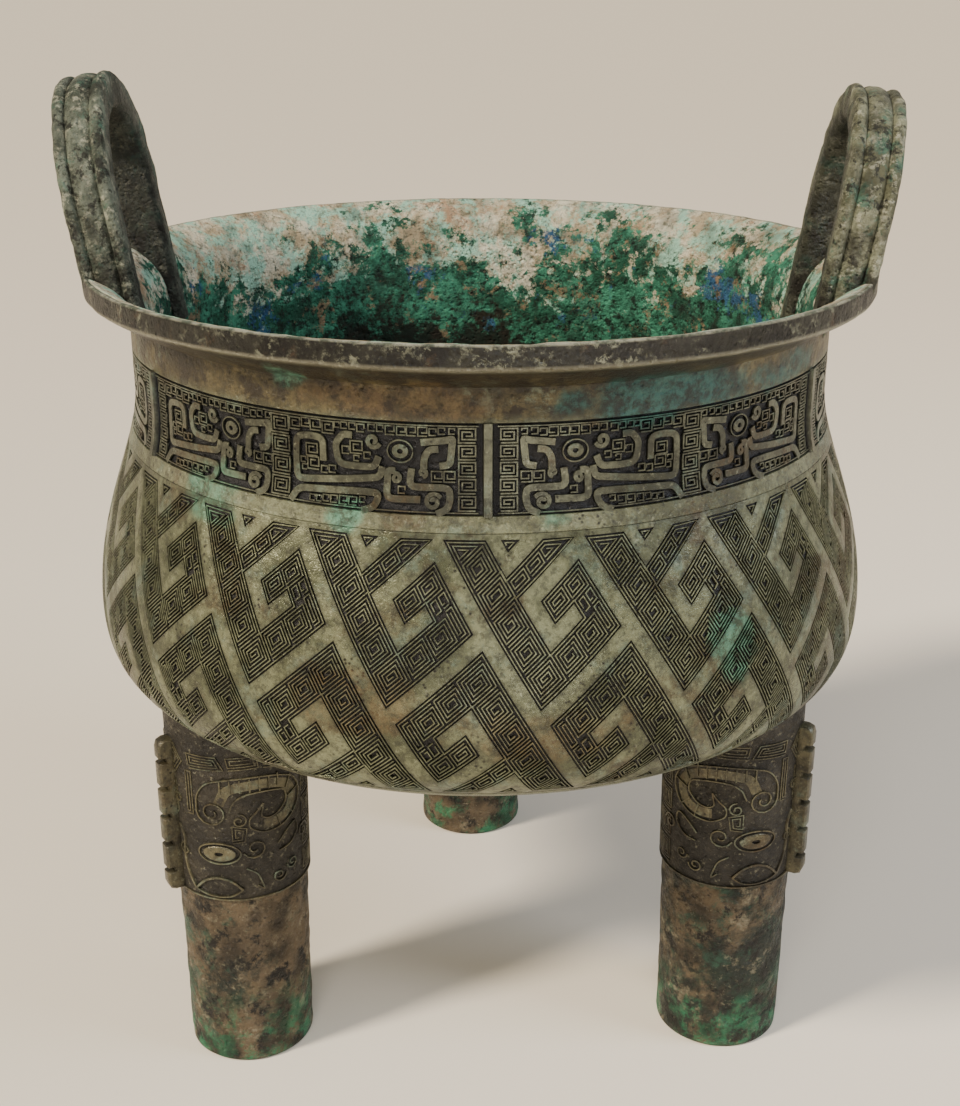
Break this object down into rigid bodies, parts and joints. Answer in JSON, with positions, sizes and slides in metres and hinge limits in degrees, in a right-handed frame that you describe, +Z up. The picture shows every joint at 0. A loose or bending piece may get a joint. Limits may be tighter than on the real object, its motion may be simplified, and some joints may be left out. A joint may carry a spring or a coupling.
{
  "type": "bronze ding vessel",
  "caption": "Cast bronze cooking vessel: round-bellied bowl with a flared rim, upright loop handles and column legs, dragon frieze and a belt of interlocking hooks.",
  "frame": {"origin": "on the bowl's axis, in the plane of the feet", "axes": "+Z up along the bowl's axis; +Y towards one leg; +X towards one handle"},
  "size_m": [0.2685, 0.2654, 0.3299],
  "materials": {
    "bronze": "aged bronze with grey-green, malachite and brown patina"
  },
  "bodies": {
    "root": {"ding_vessel": "bronze"}
  },
  "joints": []
}
